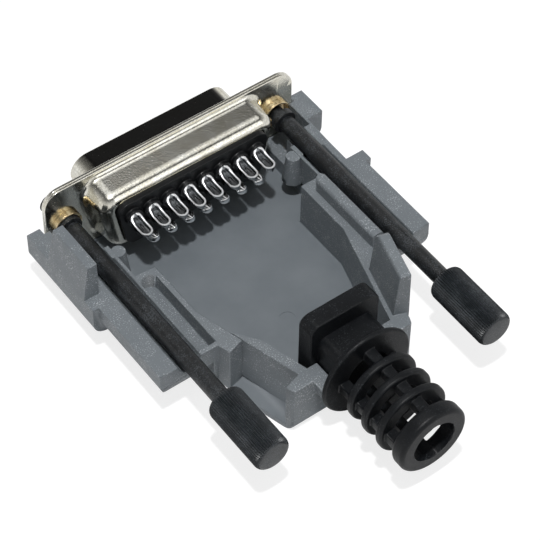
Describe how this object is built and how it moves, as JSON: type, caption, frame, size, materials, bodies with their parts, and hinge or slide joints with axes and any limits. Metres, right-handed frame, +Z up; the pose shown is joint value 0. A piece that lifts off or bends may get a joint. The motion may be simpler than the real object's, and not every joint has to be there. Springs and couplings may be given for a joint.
{
  "type": "d-sub hood",
  "caption": "Open half of a D-sub cable hood holding a solder-cup connector, two captive thumbscrews and a ribbed rubber cable boot.",
  "frame": {"origin": "centre of the connector's D on the rear face of its flange, on the parting plane of the hood", "axes": "+Y is the mating direction, X runs across the connector from the left screw to the right one, +Z is up, out of the open hood half"},
  "size_m": [0.044, 0.06, 0.0153],
  "materials": {
    "hood_grey": "moulded, fine spark texture on the edges",
    "boot_rubber": "matte",
    "tin_plate": "bright tin plate",
    "insulator_black": "semi-gloss",
    "contact_metal": "bright tin plate over brass",
    "eyelet_metal": "yellow passivated",
    "ring_black": "black oxide steel",
    "screw_black": "black oxide steel, finely turned",
    "head_black": "black oxide steel, straight knurl"
  },
  "bodies": {
    "hood": {"half_shell": "hood_grey", "cable_boot": "boot_rubber", "front_shell": "tin_plate", "rear_shell": "tin_plate", "front_insulator": "insulator_black", "rear_insulator": "insulator_black", "eyelet_left": "eyelet_metal", "eyelet_right": "eyelet_metal", "contact_01": "contact_metal", "contact_02": "contact_metal", "contact_03": "contact_metal", "contact_04": "contact_metal", "contact_05": "contact_metal", "contact_06": "contact_metal", "contact_07": "contact_metal", "contact_08": "contact_metal", "contact_09": "contact_metal", "contact_10": "contact_metal", "contact_11": "contact_metal", "contact_12": "contact_metal", "contact_13": "contact_metal", "contact_14": "contact_metal", "contact_15": "contact_metal"},
    "ring_left": {"retaining_ring_left": "ring_black"},
    "ring_right": {"retaining_ring_right": "ring_black"},
    "thumbscrew_left": {"screw_shank_left": "screw_black", "knurled_head_left": "head_black"},
    "thumbscrew_right": {"screw_shank_right": "screw_black", "knurled_head_right": "head_black"}
  },
  "joints": [
    {"name": "ring_left_slide", "type": "slide", "parent": "hood", "child": "ring_left", "axis": [0, 1, 0], "range_m": [-0.0032, 0.00019]},
    {"name": "ring_right_slide", "type": "slide", "parent": "hood", "child": "ring_right", "axis": [0, 1, 0], "range_m": [-0.002, 0.00139]},
    {"name": "thumbscrew_left_turn", "type": "hinge", "parent": "ring_left", "child": "thumbscrew_left", "pos_m": [-0.01666, 0, 0], "axis": [0, 1, 0], "continuous": true},
    {"name": "thumbscrew_right_turn", "type": "hinge", "parent": "ring_right", "child": "thumbscrew_right", "pos_m": [0.01666, 0, 0], "axis": [0, 1, 0], "continuous": true}
  ]
}
